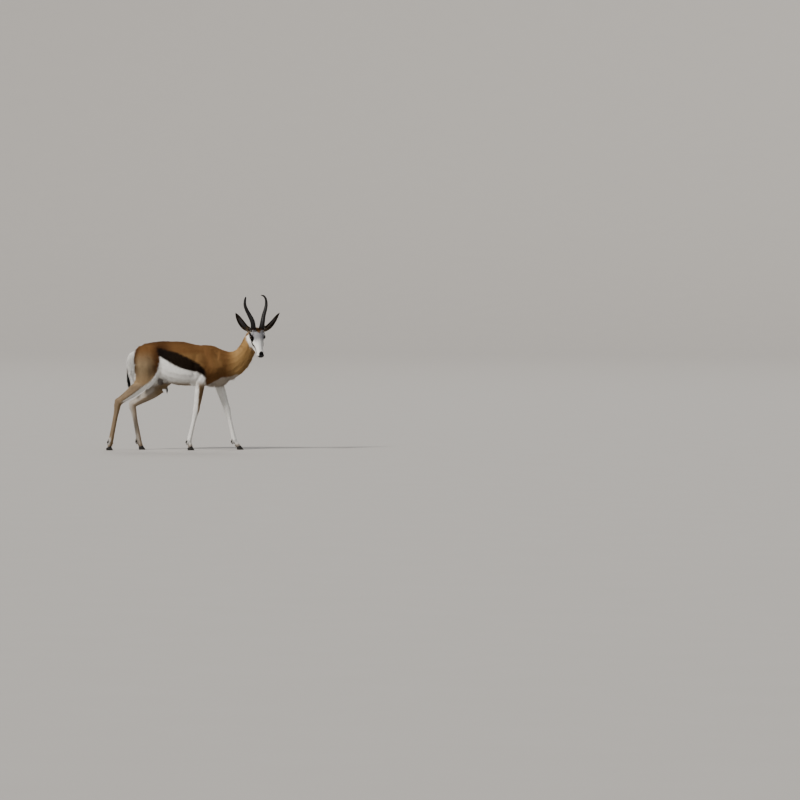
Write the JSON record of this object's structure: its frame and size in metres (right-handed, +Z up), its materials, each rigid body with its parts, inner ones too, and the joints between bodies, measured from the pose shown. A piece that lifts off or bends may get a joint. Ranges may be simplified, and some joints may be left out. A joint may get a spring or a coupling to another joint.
{
  "type": "springbok",
  "caption": "Life-size springbok ram in mid-stride, its head turned to look out over its right side, with lyre-shaped ringed horns and upright ears.",
  "frame": {"origin": "on the ground under the middle of the model's length and width", "axes": "+X towards the chest, +Y the animal's left, +Z up"},
  "size_m": [1.2828, 0.2996, 1.1486],
  "materials": {
    "brown_coat": "short smooth cinnamon hair over skin, satin",
    "white_coat": "short white hair over skin, satin",
    "horn": "black ringed horn with smooth worn tips",
    "hoof": "dark hoof horn, scuffed",
    "eye": "dark wet eye"
  },
  "bodies": {
    "root": {"ear_left": "white_coat", "ear_right": "white_coat", "eye_left": "eye", "eye_right": "eye", "foreleg_left_cannon": "white_coat", "foreleg_left_dewclaw_left": "hoof", "foreleg_left_dewclaw_right": "hoof", "foreleg_left_foot": "white_coat", "foreleg_left_hoof_left": "hoof", "foreleg_left_hoof_right": "hoof", "foreleg_left_upper": "brown_coat", "foreleg_right_cannon": "white_coat", "foreleg_right_dewclaw_left": "hoof", "foreleg_right_dewclaw_right": "hoof", "foreleg_right_foot": "white_coat", "foreleg_right_hoof_left": "hoof", "foreleg_right_hoof_right": "hoof", "foreleg_right_upper": "brown_coat", "head": "white_coat", "hindleg_left_cannon": "white_coat", "hindleg_left_dewclaw_left": "hoof", "hindleg_left_dewclaw_right": "hoof", "hindleg_left_foot": "white_coat", "hindleg_left_hoof_left": "hoof", "hindleg_left_hoof_right": "hoof", "hindleg_left_upper": "brown_coat", "hindleg_right_cannon": "white_coat", "hindleg_right_dewclaw_left": "hoof", "hindleg_right_dewclaw_right": "hoof", "hindleg_right_foot": "white_coat", "hindleg_right_hoof_left": "hoof", "hindleg_right_hoof_right": "hoof", "hindleg_right_upper": "brown_coat", "horn_left": "horn", "horn_right": "horn", "neck": "brown_coat", "tail": "white_coat", "trunk": "brown_coat"}
  },
  "joints": []
}
